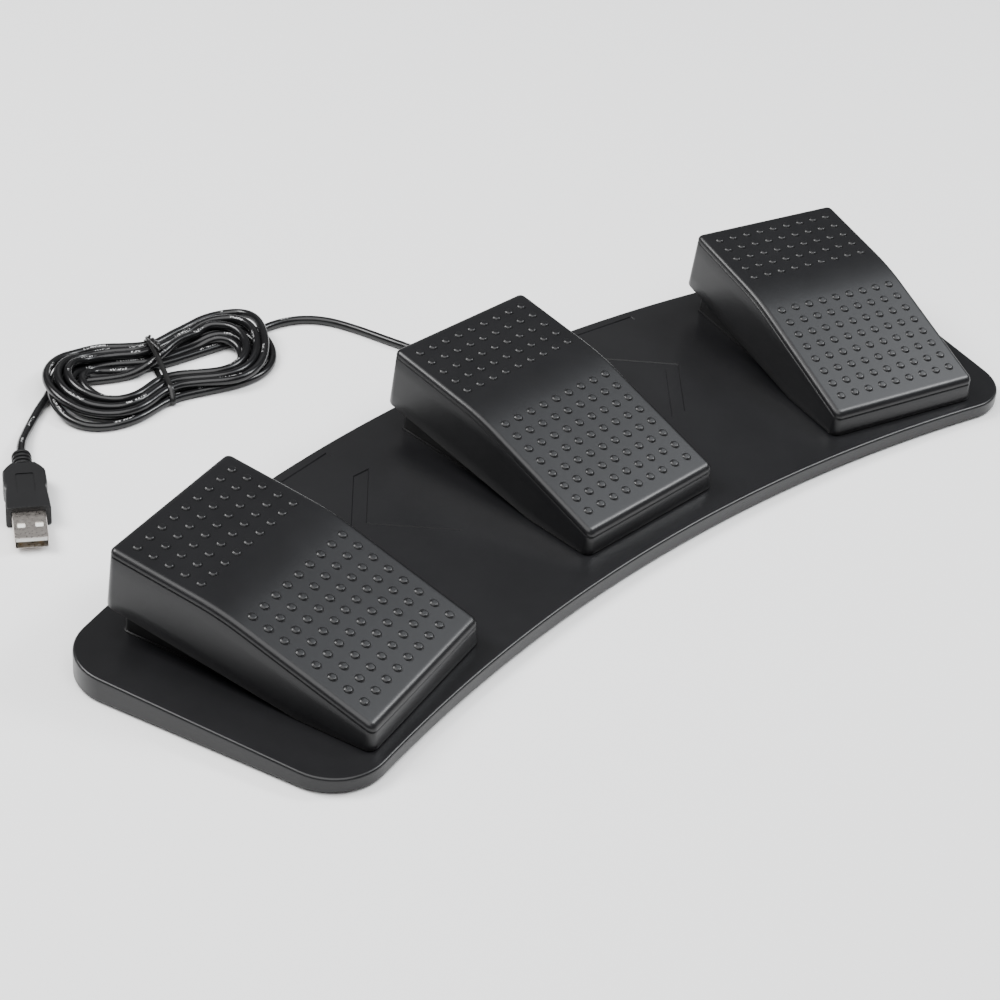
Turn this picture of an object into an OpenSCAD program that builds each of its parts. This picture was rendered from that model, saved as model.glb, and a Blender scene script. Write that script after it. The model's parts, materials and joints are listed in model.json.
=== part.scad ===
// Three-pedal USB foot switch: a low curved base with three sprung rocker pedals,
// each working a lever microswitch, and a hanked USB lead behind it.
// +Z is up, +X right, +Y to the rear. The origin is on the floor, under the middle of the base.

/* [Base] */
// Angle between one pedal and the next, about the centre of the pedals' arc
pedal_spread = 15; // [12:1:16]
// Radius of the rear edge
rear_r = 629; // [600:1:650]
// Radius of the concave front edge
front_r = 668.5; // [650:0.5:690]
// Distance of the side edges from the centre of the base
side_d = 209; // [200:1:220]
// Radius of the base's corners in plan
corner_r = 20; // [12:1:24]
// Slope of the deck, rising to the rear
deck_tilt = 2.4; // [2:0.1:2.8]
// Wall and deck thickness of the base shell
base_wall = 2.5; // [2:0.1:2.6]
// Thickness of the bottom cover
cover_t = 1.5; // [1.2:0.1:1.6]
// Height of the rubber feet below the base
foot_stand = 1; // [0.8:0.1:1.2]

/* [Pedal] */
// Width of a pedal
pedal_w = 70.5; // [66:0.5:74]
// Wall thickness of a pedal
pedal_t = 2.5; // [2:0.1:2.6]
// Slope of the upper, rear face
upper_slope = 7.57; // [6:0.01:9]
// Slope of the lower, front face
lower_slope = 18.17; // [17:0.01:19]
// Height of the upper face above the deck, at the middle of its dots
upper_z = 32.3; // [31:0.1:34]
// Spacing of the tread dots
dot_pitch = 6.8; // [6:0.1:7]
// Diameter of a tread dot
dot_d = 3.4; // [2.6:0.1:3.8]
// Height of a tread dot
dot_h = 0.6; // [0.4:0.1:0.9]

/* [Pedal hinge and spring] */
// Diameter of the hinge shaft
shaft_d = 4; // [3:0.5:4]
// Radial clearance of the pedal's lugs on the shaft
shaft_gap = 0.05; // [0.03:0.01:0.1]
// Wire diameter of the return spring
spring_wire = 1.2; // [0.8:0.1:1.4]
// Outside diameter of the return spring
spring_d = 10; // [9:0.5:11]

/* [Lead] */
// Diameter of the lead
lead_d = 3.4; // [3:0.1:4]
// Place of the lead's outlet along the rear wall
outlet_x = 28; // [22:1:34]
// Height of the hanked part of the lead
hank_h = 9.6; // [8:0.1:10]
// Width of the plug's moulded body
plug_w = 16; // [14:0.1:17]
// Thickness of the plug's moulded body
plug_h = 8.4; // [8:0.1:9]

/* [Hidden] */
$fn = 48;
SIDES = [1, 0, -1];
NAMES = ["left", "middle", "right"];

// The deck plane stands at deck_y, deck_z where the middle pedal's upper dots are centred.
deck_y = 43.9;
deck_z = 11.1;
arc_r = 594;
rear_c = -601;
front_c = -763;
cover_top = foot_stand + cover_t;
// Shallow slot in the deck near the rear edge, between the middle pedal and the next
slot_angle = 7.7;
slot_x = [-19.4, 19.4];
slot_y = [21.4, 24];
ink = "#1c1c1e";
inner_ink = "#2a2a2c";
steel = "#b8bac0";

// Pedal side view, in its own frame: y back along the pedal, z up from the deck.
pedal_rear = 19.5;
pedal_front = -84.5;
lower_mid = [-53.8, 19.3];
bend_y = (lower_mid[1] - lower_mid[0] * tan(lower_slope) - upper_z) / (tan(upper_slope) - tan(lower_slope));
skirt_kink = -55;
skirt_rear_z = 12;
skirt_gap = 0.4;
lower_rows = 8;
upper_rows = 5;
dot_cols = 9;
row_pitch = [6.27, 6.44];

// Hinge shaft, spring and switch, in the pedal's own frame.
hinge = [-52, 8.3];
spring_y = 4;
spring_z = [2, 18];
spring_turns = 6;
// Bar under the pedal that works the switch, and the stops for full travel
striker = [-27, 21.9];
striker_r = 1.5;
stop_x = 20;
stop_y = [13.2, 15];
housing_w = 60;
housing_y = [-78, 15.5];
housing_h = 15;
nose_h = 6.5;
nose_y = -46;
housing_t = 2.4;
floor_t = 2;
bracket_t = 2.4;
switch_y = [-26.5, -6.7];
switch_z = [5.3, 15.5];
switch_w = 6.4;
lever_hinge = [-8.5, 16.3];
lever_rest = 11;
button_y = -14;

// Plug: the mouth of its shell is at the far end of the heading.
plug_rear = [-142.8, 143.7];
plug_turn = 146.6;
plug_z = plug_h / 2;
boot_l = 9.5;
moulding_l = 30;
socket_l = 8;
shell_l = 16;
shell_w = 12;
shell_h = 4.5;
shell_t = 0.35;
tongue_w = 11;
tongue_h = 1.7;

// Hank: round lobes joined by a waist, with the tie round the waist.
hank_c = [-64, 159.6];
hank_turn = -14;
// Middle and radius of each round part of its outline
hank_rounds = [[-28.5, -2.5, 25.8], [28, 2.5, 24], [35.5, 9, 20.5]];
waist_w = 41.2;
waist_l = 56;
tie_w = 2.2;
tie_t = 0.8;

// Route of the lead from its outlet to the hank, and from the hank to the plug.
outlet_y = rear_y(outlet_x) + deck_y;
outlet_z = 6.4;
lead_r = lead_d / 2;
run_route = [
    [28.75, 88.1, 6.4], [28.9, 91, 6.2], [28.9, 95, 5.2], [28.6, 99, 3.6], [28, 103, 2.3],
    [27.1, 107, 1.8], [25.8, 112, 1.7], [24.3, 117.4, 1.7], [22.9, 123, 1.7], [21.5, 128.8, 1.7],
    [20, 134.6, 1.7], [18.1, 140.6, 1.7], [15.6, 146.6, 1.7], [12, 151.8, 1.7], [7.3, 155.8, 1.7],
    [1.8, 158.4, 1.7], [-4, 159.7, 1.7], [-10, 159.9, 1.7], [-16, 159.1, 1.7]
];
plug_route = [
    [-108, 173.4, 1.7], [-111.6, 171.1, 1.7], [-115.8, 168.4, 1.7], [-120.2, 165.3, 1.7],
    [-124.6, 162, 1.8], [-128.8, 158.7, 2.1], [-132.7, 155.3, 2.8], [-136.6, 151.5, 3.6],
    [-140.2, 147.3, 4.1], [-142.8, 143.7, 4.2]
];

// ---- helpers ----

// Height above the floor, in the row frame, of the deck at plan distance y from its origin
function deck_top(y) = deck_z + y * tan(deck_tilt);
// Points of an arc about c, from angle a0 to angle a1, in n steps
function arc(c, r, a0, a1, n) = [for (i = [0:n]) let (a = a0 + (a1 - a0) * i / n) c + r * [cos(a), sin(a)]];
// Rear edge of the base at x
function rear_y(x) = rear_c + sqrt(rear_r * rear_r - x * x);
// Centre of a corner fillet: ring_r is its distance from the edge arc's centre at height c
function corner_c(c, ring_r) =
    let (n = [cos(pedal_spread), sin(pedal_spread)], t = [-sin(pedal_spread), cos(pedal_spread)])
    let (offset = side_d - corner_r + c * sin(pedal_spread))
    let (along = c * cos(pedal_spread) + sqrt(ring_r * ring_r - offset * offset))
    -(side_d - corner_r) * n + along * t;
function mirrored(p) = [-p[0], p[1]];
// Plan outline of the base, moved inwards by e
function outline(e) =
    let (rl = corner_c(rear_c, rear_r - corner_r), fl = corner_c(front_c, front_r + corner_r))
    let (ra = atan2(rl[1] - rear_c, rl[0]), fa = atan2(fl[1] - front_c, fl[0]))
    concat(
        arc(rl, corner_r - e, 180 + pedal_spread, ra, 10),
        arc([0, rear_c], rear_r - e, ra, 180 - ra, 36),
        arc(mirrored(rl), corner_r - e, 180 - ra, -pedal_spread, 10),
        arc(mirrored(fl), corner_r - e, -pedal_spread, -fa, 10),
        arc([0, front_c], front_r + e, 180 - fa, fa, 36),
        arc(fl, corner_r - e, fa - 180, pedal_spread - 180, 10)
    );

module on_deck() {
    translate([0, deck_y, deck_z]) rotate([deck_tilt, 0, 0]) children();
}
// Frame of a pedal that is turned by a about the centre of the pedals' arc
module round_arc(a) {
    translate([0, -arc_r, 0]) rotate([0, 0, a]) translate([0, arc_r, 0]) children();
}
module at_pedal(side) {
    on_deck() round_arc(side * pedal_spread) children();
}
// Frame of the lead's outlet: y points straight out of the rear wall, z is the height above the floor
module at_outlet() {
    translate([outlet_x, outlet_y, 0]) rotate([0, 0, -asin(outlet_x / rear_r)]) children();
}
module in_plan() {
    translate([0, deck_y, 0]) children();
}
// Extrudes a side view, drawn as [y, z], across x and centred on x
module across(w, x = 0) {
    translate([x - w / 2, 0, 0]) rotate([90, 0, 90]) linear_extrude(w) children();
}
// A cylinder lying along x
module bar_x(r, x0, x1, y, z) {
    translate([x0, y, z]) rotate([0, 90, 0]) cylinder(r = r, h = x1 - x0);
}
module box(x, y, z) {
    translate([x[0], y[0], z[0]]) cube([x[1] - x[0], y[1] - y[0], z[1] - z[0]]);
}
function unit(v) = v / norm(v);
// Direction of a route at point i
function heading(p, i) = unit(p[min(i + 1, len(p) - 1)] - p[max(i - 1, 0)]);
// Ring of n points round a route's point, square to its direction
function ring(p, i, r, n) =
    let (d = heading(p, i), s = unit(cross(d, abs(d[2]) > 0.9 ? [1, 0, 0] : [0, 0, 1])), u = cross(s, d))
    [for (k = [0:n - 1]) p[i] + r * (cos(360 * k / n) * s + sin(360 * k / n) * u)];
// A round tube swept along a route
module tube(p, r, n = 8) {
    m = len(p);
    pts = [for (i = [0:m - 1]) each ring(p, i, r, n)];
    sides = [for (i = [0:m - 2], k = [0:n - 1])
        [i * n + k, i * n + (k + 1) % n, (i + 1) * n + (k + 1) % n, (i + 1) * n + k]];
    first = [for (k = [0:n - 1]) n - 1 - k];
    last = [for (k = [0:n - 1]) (m - 1) * n + k];
    polyhedron(points = pts, faces = concat([first], sides, [last]));
}
// Screw positions of a pedal housing
module at_housing_screws() {
    for (x = [-24, 24], y = [-70, 8]) translate([x, y, 0]) children();
}
// Cover screw positions, in the base's plan
COVER_SCREWS = [
    [-193, -34], [193, -34], [-168, -101], [168, -101], [-75, 15], [75, 15], [-70, -86], [70, -86], [0, -84]
];
module at_cover_screws() {
    for (p = COVER_SCREWS) translate([p[0], p[1], 0]) children();
}
FEET = [[-190, -16], [190, -16], [-170, -88], [170, -88], [-60, 13], [60, 13], [-44, -86], [44, -86]];
PEG_YS = [-55, 0];
BOARD_SCREWS = [[-16, 15], [16, 15], [-16, -2], [16, -2]];
board_z = [4, 5.2];

// ---- base ----

module plan_prism(e, z0, z1) {
    in_plan() translate([0, 0, z0]) linear_extrude(z1 - z0) polygon(outline(e));
}
// Everything below the deck plane, lowered by d
module below_deck(d) {
    translate([0, deck_y, deck_z - d]) rotate([deck_tilt, 0, 0]) box([-260, 260], [-160, 80], [-40, 0]);
}
// Arrow head, side = 1 points left and -1 points right
module arrow(side) {
    w = 16;
    h = 24;
    stroke = 8;
    translate([-side * 74, -20]) scale([side, 1])
        polygon([[-w, 0], [w - stroke, h], [w, h], [stroke - w, 0], [w, -h], [w - stroke, -h]]);
}
module base_shell() {
    mark_depth = 0.4;
    color(ink) difference() {
        union() {
            difference() {
                intersection() {
                    plan_prism(0, foot_stand, 20);
                    below_deck(0);
                }
                intersection() {
                    plan_prism(base_wall, foot_stand - 1, 20);
                    below_deck(base_wall);
                }
            }
            in_plan() for (p = COVER_SCREWS)
                translate([p[0], p[1], cover_top]) cylinder(d = 6.5, h = deck_top(p[1]) - cover_top - 1);
        }
        in_plan() at_cover_screws() translate([0, 0, cover_top - 1]) cylinder(d = 2.5, h = 4);
        // clearance holes for the housing screws, and a window for each switch's wires
        for (s = SIDES) at_pedal(s) {
            at_housing_screws() translate([0, 0, -4]) cylinder(d = 3, h = 6);
            box([-4.5, 2.5], [-26, -8], [-4, 2]);
        }
        // outlet for the lead's strain relief
        at_outlet() translate([0, 1, outlet_z]) rotate([90, 0, 0]) cylinder(d = 5.6, h = 6);
        // direction arrows and a slot beside the middle pedal on each side
        on_deck() translate([0, 0, -mark_depth]) linear_extrude(3) {
            arrow(1);
            arrow(-1);
        }
        for (s = [-1, 1]) on_deck() round_arc(s * slot_angle) box(slot_x, slot_y, [-mark_depth, 2]);
    }
}
module base_cover() {
    play = 0.3;
    color(ink) difference() {
        union() {
            plan_prism(base_wall + play, foot_stand, cover_top);
            // pegs that locate the ballast plates
            in_plan() for (s = [-1, 1]) round_arc(s * pedal_spread / 2) for (y = PEG_YS)
                translate([0, y, cover_top - 0.5]) cylinder(d = 4, h = 2.3);
            // posts for the controller board
            in_plan() for (p = BOARD_SCREWS)
                translate([p[0], p[1], cover_top - 0.5]) cylinder(d = 5, h = board_z[0] - cover_top + 0.5);
            // posts for the lead's clamp
            at_clamp_screws() translate([0, 0, cover_top - 0.5])
                cylinder(d = 4.6, h = clamp_z[0] - cover_top + 0.5);
        }
        in_plan() at_cover_screws() {
            translate([0, 0, foot_stand]) cylinder(d1 = 5.6, d2 = 2.8, h = 1.4);
            cylinder(d = 2.8, h = 4);
        }
        in_plan() for (p = FEET) translate([p[0], p[1], foot_stand - 1]) cylinder(d = 14.2, h = 1.5);
        in_plan() for (p = BOARD_SCREWS) translate([p[0], p[1], cover_top]) cylinder(d = 1.9, h = 4);
        at_clamp_screws() translate([0, 0, cover_top]) cylinder(d = 1.9, h = 4);
    }
}
module rubber_feet() {
    color("#3a3a3c") in_plan() for (p = FEET) translate([p[0], p[1], 0]) {
        cylinder(d1 = 13, d2 = 14, h = 0.4);
        translate([0, 0, 0.4]) cylinder(d = 14, h = 1.1);
    }
}
module cover_screws() {
    color(steel) in_plan() at_cover_screws() translate([0, 0, foot_stand]) difference() {
        union() {
            cylinder(d1 = 5.4, d2 = 2.6, h = 1.35);
            cylinder(d = 2.4, h = 4.2);
        }
        for (a = [0, 90]) rotate([0, 0, a]) box([-1.4, 1.4], [-0.3, 0.3], [-1, 0.7]);
    }
}
module housing_screws() {
    color(steel) for (s = SIDES) at_pedal(s) at_housing_screws()
    translate([0, 0, -base_wall]) difference() {
        union() {
            translate([0, 0, -1.6]) cylinder(d = 5, h = 1.6);
            cylinder(d = 2.4, h = 6.8);
        }
        for (a = [0, 90]) rotate([0, 0, a]) box([-1.4, 1.4], [-0.3, 0.3], [-3, -0.9]);
    }
}
module ballast_plate(side) {
    plate_w = 78;
    plate_t = 2;
    color(steel) in_plan() round_arc(side * pedal_spread / 2) difference() {
        box([-plate_w / 2, plate_w / 2], [-70, 9], [cover_top, cover_top + plate_t]);
        for (y = PEG_YS) translate([0, y, 0]) cylinder(d = 4.4, h = 10);
    }
}

// ---- pedal ----

function upper_at(y) = upper_z + y * tan(upper_slope);
function lower_at(y) = lower_mid[1] + (y - lower_mid[0]) * tan(lower_slope);
// Crown of the side view from front to rear, e mm inside it, with a rounded bend
function crown(e, y0, y1) =
    let (blend = 9, n = 6)
    concat(
        [[y0, lower_at(y0) - e]],
        [for (i = [0:n]) let (u = i / n, a = bend_y - blend, b = bend_y + blend)
            (1 - u) * (1 - u) * [a, lower_at(a) - e] + 2 * u * (1 - u) * [bend_y, upper_at(bend_y) - e]
            + u * u * [b, upper_at(b) - e]],
        [[y1, upper_at(y1) - e]]
    );
module pedal_block(e, z_front, z_rear) {
    w = pedal_w - 2 * e;
    y0 = pedal_front + e;
    y1 = pedal_rear - e;
    intersection() {
        across(w) polygon(concat(
            [[y1 + 0.5, z_rear], [skirt_kink, z_front], [y0, z_front]],
            crown(e, y0 + 0.8, y1 - 1)
        ));
        translate([0, 0, -5]) linear_extrude(60) rounded_plan(w, y0, y1 + 0.5, 3.6 - e);
    }
}
module rounded_plan(w, y0, y1, r) {
    rr = max(r, 0.8);
    for (x = [-w / 2 + rr, w / 2 - rr], y = [y0 + rr, y1 - rr]) translate([x, y]) circle(rr);
    translate([-w / 2 + rr, y0]) square([w - 2 * rr, y1 - y0]);
    translate([-w / 2, y0 + rr]) square([w, y1 - y0 - 2 * rr]);
}
// A field of dots standing on a face whose middle is at [y, z] and which slopes by a
module dots(y, z, a, rows, pitch) {
    translate([0, y, z]) rotate([a, 0, 0]) translate([0, 0, -0.3]) linear_extrude(dot_h + 0.3)
        for (i = [0:dot_cols - 1], j = [0:rows - 1])
            translate([(i - (dot_cols - 1) / 2) * dot_pitch, (j - (rows - 1) / 2) * pitch])
                circle(d = dot_d, $fn = 16);
}
module pedal() {
    lug_x = 22.5;
    color(ink) difference() {
        union() {
            difference() {
                pedal_block(0, skirt_gap, skirt_rear_z);
                pedal_block(pedal_t, -3, -3);
            }
            dots(0, upper_z, upper_slope, upper_rows, row_pitch[0]);
            dots(lower_mid[0], lower_mid[1], lower_slope, lower_rows, row_pitch[1]);
            // lugs that snap over the hinge shaft
            for (x = [-lug_x, lug_x]) {
                bar_x(5, x - 2.5, x + 2.5, hinge[0], hinge[1]);
                box([x - 2.5, x + 2.5], [hinge[0] - 3, hinge[0] + 3], [hinge[1], 17.6]);
            }
            // post and spigot for the spring, bar that works the switch, stops for full travel
            translate([0, spring_y, spring_z[1]]) cylinder(d = 11, h = 13);
            translate([0, spring_y, spring_z[1] - 3]) cylinder(d = 6.6, h = 4);
            bar_x(striker_r, -2.5, 2.5, striker[0], striker[1]);
            box([-2.5, 2.5], [striker[0] - striker_r, striker[0] + striker_r], [striker[1], 26.5]);
            for (x = [-stop_x, stop_x]) box([x - 1.5, x + 1.5], stop_y, [24.2, 32]);
        }
        bar_x(shaft_d / 2 + shaft_gap, -lug_x - 4, lug_x + 4, hinge[0], hinge[1]);
        for (x = [-lug_x, lug_x])
            box([x - 4, x + 4], [hinge[0] - 1.6, hinge[0] + 1.6], [hinge[1] - 8, hinge[1]]);
    }
}
module hinge_shaft() {
    color(steel) bar_x(shaft_d / 2, -housing_w / 2 + 0.2, housing_w / 2 - 0.2, hinge[0], hinge[1]);
}
function coil_point(t) =
    let (r = (spring_d - spring_wire) / 2, n = spring_turns)
    let (h = spring_z[1] - spring_z[0] - spring_wire)
    let (a = 360 * n * t, rise = min(max((t * n - 0.9) / (n - 1.8), 0), 1))
    [r * cos(a), spring_y + r * sin(a), spring_z[0] + spring_wire / 2 + h * rise];
module return_spring() {
    steps = spring_turns * 14;
    color(steel) tube([for (i = [0:steps]) coil_point(i / steps)], spring_wire / 2 - 0.01, 6);
}

// ---- pedal housing and switch ----

module housing() {
    front = housing_y[0];
    rear = housing_y[1];
    profile = [[front, 0], [front, nose_h], [nose_y, housing_h], [rear, housing_h], [rear, 0]];
    color(inner_ink) difference() {
        union() {
            difference() {
                across(housing_w) polygon(profile);
                box([-housing_w / 2 + housing_t, housing_w / 2 - housing_t],
                    [front + housing_t, rear - housing_t], [floor_t, 40]);
            }
            at_housing_screws() cylinder(d = 7, h = 6.6);
            translate([0, spring_y, 0]) cylinder(d = 6.6, h = 6);
            // bracket for the switch
            box([switch_w / 2, switch_w / 2 + bracket_t], [switch_y[0] - 1, switch_y[1] + 1], [0.5, 13.5]);
        }
        bar_x(shaft_d / 2 + 0.02, -40, 40, hinge[0], hinge[1]);
        at_housing_screws() translate([0, 0, -1]) cylinder(d = 2.5, h = 6.4);
        box([-4.5, 2.5], [-26, -8], [-1, floor_t + 1]);
        for (y = screw_ys()) bar_x(1, 0, 10, y, screw_z());
    }
}
// A microswitch's two screws are 9.5 mm apart
function screw_ys() = [for (s = [-1, 1]) (switch_y[0] + switch_y[1]) / 2 + s * 4.75];
function screw_z() = switch_z[0] + 2.9;
module microswitch() {
    ear = 0.8;
    color("#202022") difference() {
        union() {
            box([-switch_w / 2, switch_w / 2], switch_y, switch_z);
            for (x = [-switch_w / 2, switch_w / 2 - ear])
                box([x, x + ear], [lever_hinge[0] - 1.8, switch_y[1]], [switch_z[1] - 0.5, 17.4]);
        }
        for (y = screw_ys()) bar_x(1.15, -10, 10, y, screw_z());
        bar_x(0.55, -10, 10, lever_hinge[0], lever_hinge[1]);
        translate([0, button_y, 12]) cylinder(r = 1.1, h = 10, $fn = 32);
    }
}
module switch_lever() {
    color(steel) {
        bar_x(0.5, -switch_w / 2, switch_w / 2, lever_hinge[0], lever_hinge[1]);
        translate([0, lever_hinge[0], lever_hinge[1]]) rotate([-lever_rest, 0, 0])
            box([-2.1, 2.1], [-20.8, 0], [-0.2, 0.2]);
    }
}
module switch_button() {
    color("#b8322c") translate([0, button_y, 13.5]) cylinder(r = 1, h = 3.4, $fn = 32);
}
module switch_terminals() {
    color("#c9a24a") for (y = [-24, -16.6, -9.2]) box([-0.25, 0.25], [y - 1, y + 1], [2.4, switch_z[0]]);
}
module switch_screws() {
    color(steel) for (y = screw_ys()) {
        bar_x(0.95, -switch_w / 2, switch_w / 2 + 2.2, y, screw_z());
        difference() {
            bar_x(1.9, -switch_w / 2 - 1.3, -switch_w / 2, y, screw_z());
            box([-6, -switch_w / 2 - 0.7], [y - 0.3, y + 0.3], [0, 20]);
        }
    }
}

// ---- wiring, board and lead inside the base ----

// Middle of a pedal's wire window, in plan
function window_xy(side) =
    let (a = side * pedal_spread)
    [-(arc_r - 17) * sin(a), deck_y - arc_r + (arc_r - 17) * cos(a)];
module switch_wires(side) {
    w = window_xy(side);
    wire_r = 0.7;
    start = [w[0], w[1], deck_top(w[1] - deck_y) + 1.6];
    route = side == 0 ? [
        start, [w[0], w[1] + 0.3, 10], [w[0], w[1] + 1.6, 8], [w[0], w[1] + 4.4, 6.8],
        [w[0], w[1] + 7.8, 6.4], [0, deck_y - 6.1, 6.4]
    ] : [
        start, [w[0], w[1], 8], [w[0] + side * 0.6, w[1] + 0.6, 6.4], [w[0] + side * 3, w[1] + 2, 5.6],
        [-side * 112, deck_y - 27, 5.4], [-side * 90, deck_y - 21, 5.4], [-side * 60, deck_y - 15, 5.4],
        [-side * 36, deck_y - 11.5, 5.4], [-side * 22, deck_y - 10, 5.6], [-side * 14, deck_y - 8.8, 6.2],
        [-side * 11, deck_y - 6.5, 6.4]
    ];
    color("#7a2020") tube(route, wire_r);
}
module controller_board() {
    color("#1d5c38") in_plan() difference() {
        box([-19.4, 19.4], [-6, 19], board_z);
        for (p = BOARD_SCREWS) translate([p[0], p[1], 0]) cylinder(d = 2.3, h = 10);
    }
}
module board_parts() {
    top = board_z[1];
    color("#303033") in_plan() {
        box([-4.5, 4.5], [4, 13], [top, top + 1.4]);
        box([-12, -8.5], [6, 11], [top, top + 1.8]);
        for (x = [-11, 0, 11]) box([x - 2.6, x + 2.6], [-6, -2.5], [top, top + 2.3]);
        box([8, 13], [8, 12], [top, top + 2.3]);
    }
}
module board_screws() {
    color(steel) in_plan() for (p = BOARD_SCREWS) translate([p[0], p[1], 0]) {
        translate([0, 0, cover_top + 0.2]) cylinder(d = 1.8, h = board_z[1] - cover_top - 0.2);
        translate([0, 0, board_z[1]]) cylinder(d = 3.6, h = 1);
    }
}
clamp_y = -10.4;
clamp_z = [5.2, 8.9];
module at_clamp_screws() {
    at_outlet() for (x = [-5.5, 5.5]) translate([x, clamp_y, 0]) children();
}
module lead_tail() {
    color(ink) at_outlet() {
        translate([0, -15.3, outlet_z]) rotate([-90, 0, 0]) cylinder(d = lead_d, h = 19.3);
        tube([
            [0, -15, outlet_z], [-0.3, -16.6, 6.2], [-2.6, -17.7, 5.9], [-8, -18, 6.2], [-14.15, -18, 6.4]
        ], 0.8);
    }
}
module lead_clamp() {
    color(inner_ink) difference() {
        at_outlet() difference() {
            box([-7.8, 7.8], [clamp_y - 2.6, clamp_y + 2.6], clamp_z);
            translate([0, clamp_y - 6, outlet_z]) rotate([-90, 0, 0]) cylinder(d = lead_d + 0.1, h = 12);
            box([-lead_d / 2 - 0.05, lead_d / 2 + 0.05], [clamp_y - 6, clamp_y + 6], [4, outlet_z]);
        }
        at_clamp_screws() {
            cylinder(d = 2.3, h = 10);
            translate([0, 0, 7.6]) cylinder(d1 = 2.3, d2 = 4.2, h = 1.31);
        }
    }
}
module clamp_screws() {
    color(steel) at_clamp_screws() {
        translate([0, 0, cover_top + 0.3]) cylinder(d = 1.8, h = 5.2);
        translate([0, 0, 7.7]) cylinder(d1 = 2, d2 = 3.9, h = 1.1);
    }
}

// ---- strain relief and lead outside the base ----

module strain_relief() {
    boot = 15;
    color(ink) at_outlet() translate([0, 0, outlet_z]) rotate([-90, 0, 0]) difference() {
        union() {
            translate([0, 0, -base_wall - 1.6]) cylinder(d = 6.4, h = 1.5);
            translate([0, 0, -base_wall - 0.2]) cylinder(d = 5.5, h = base_wall + 0.4);
            translate([0, 0, 0.15]) cylinder(d = 8.4, h = 1.6);
            translate([0, 0, 1.7]) cylinder(d1 = 6.6, d2 = 4.8, h = boot);
            for (i = [0:4]) translate([0, 0, 3 + i * 2.6]) cylinder(d = 7 - i * 0.36, h = 1.3);
        }
        translate([0, 0, -10]) cylinder(d = lead_d, h = 14);
    }
}
module lead_run() {
    color(ink) tube(run_route, lead_r);
}
module plug_run() {
    color(ink) tube(plug_route, lead_r);
}
module in_hank() {
    translate([hank_c[0], hank_c[1], 0]) rotate([0, 0, hank_turn]) children();
}
module lead_hank() {
    color(ink) in_hank() difference() {
        linear_extrude(hank_h - 0.8) {
            for (c = hank_rounds) translate([c[0], c[1]]) circle(c[2], $fn = 64);
            square([waist_l, waist_w], center = true);
        }
        tie_ring(tie_w + 0.2, 0, 5);
    }
}
// A band round the hank's waist, with its inner face tie_t inside the hank's faces
module tie_ring(w, inside, out) {
    translate([-w / 2, 0, 0]) rotate([90, 0, 90]) linear_extrude(w) difference() {
        translate([-waist_w / 2 - out, -out]) square([waist_w + 2 * out, hank_h + 2 * out]);
        translate([-waist_w / 2 + tie_t, tie_t]) square([waist_w - 2 * tie_t, hank_h - 0.8 - 2 * tie_t]);
    }
}
module hank_tie() {
    outer_w = waist_w + 0.6;
    color("#151516") in_hank() intersection() {
        tie_ring(tie_w, 0, 5);
        translate([-tie_w, -outer_w / 2, 0]) cube([2 * tie_w, outer_w, hank_h - 0.4]);
    }
}

// ---- plug ----

front_x = boot_l + moulding_l;
mouth_x = front_x + shell_l;
tongue_x = front_x - socket_l + 0.5;
// Plug frame: x along the plug towards its mouth, z up
module in_plug() {
    translate([plug_rear[0], plug_rear[1], plug_z]) rotate([0, 0, plug_turn + 90]) children();
}
module plug_plan() {
    w = plug_w / 2;
    polygon([
        [0, -4.3], [0, 4.3], [5.5, w - 0.4], [14, w - 0.4], [16, w - 0.9], [18.5, w - 0.6], [moulding_l, w],
        [moulding_l, -w], [18.5, 0.6 - w], [16, 0.9 - w], [14, 0.4 - w], [5.5, 0.4 - w]
    ]);
}
module plug_overmould() {
    color(ink) in_plug() difference() {
        union() {
            rotate([0, 90, 0]) cylinder(d = 5.4, h = boot_l + 0.1);
            for (i = [0:3]) translate([0.5 + i * 2.4, 0, 0]) rotate([0, 90, 0]) cylinder(d = 7.4, h = 1.3);
            translate([boot_l, 0, -plug_h / 2]) linear_extrude(plug_h) plug_plan();
        }
        // finger recess and shell socket
        translate([boot_l + 8, -3.3, plug_h / 2 - 0.4]) cube([12.5, 6.6, 2]);
        translate([front_x - socket_l, -shell_w / 2, -shell_h / 2]) cube([20, shell_w, shell_h]);
        translate([-1, 0, 0]) rotate([0, 90, 0]) cylinder(d = lead_d, h = 1);
    }
}
module plug_shell() {
    t = shell_t;
    color("#c8c8cc") in_plug() difference() {
        translate([front_x - socket_l, -shell_w / 2, -shell_h / 2])
            cube([shell_l + socket_l, shell_w, shell_h]);
        translate([tongue_x, -shell_w / 2 + t, -shell_h / 2 + t])
            cube([shell_l + 20, shell_w - 2 * t, shell_h - 2 * t]);
        for (y = [-3.15, 3.15], z = [-shell_h / 2, shell_h / 2])
            translate([mouth_x - 9.2, y - 1.5, z - 1]) cube([3.4, 3, 2]);
    }
}
module plug_tongue() {
    color("#f0f0ee") in_plug() translate([tongue_x, -tongue_w / 2, shell_h / 2 - shell_t - tongue_h])
        cube([mouth_x - tongue_x - 0.3, tongue_w, tongue_h]);
}
module plug_contacts() {
    color("#d0a040") in_plug() for (y = [-3.5, -1, 1, 3.5])
        translate([front_x - 4, y - 0.5, shell_h / 2 - shell_t - tongue_h - 0.2]) cube([shell_l + 2, 1, 0.2]);
}

// ---- assembly ----

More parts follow.
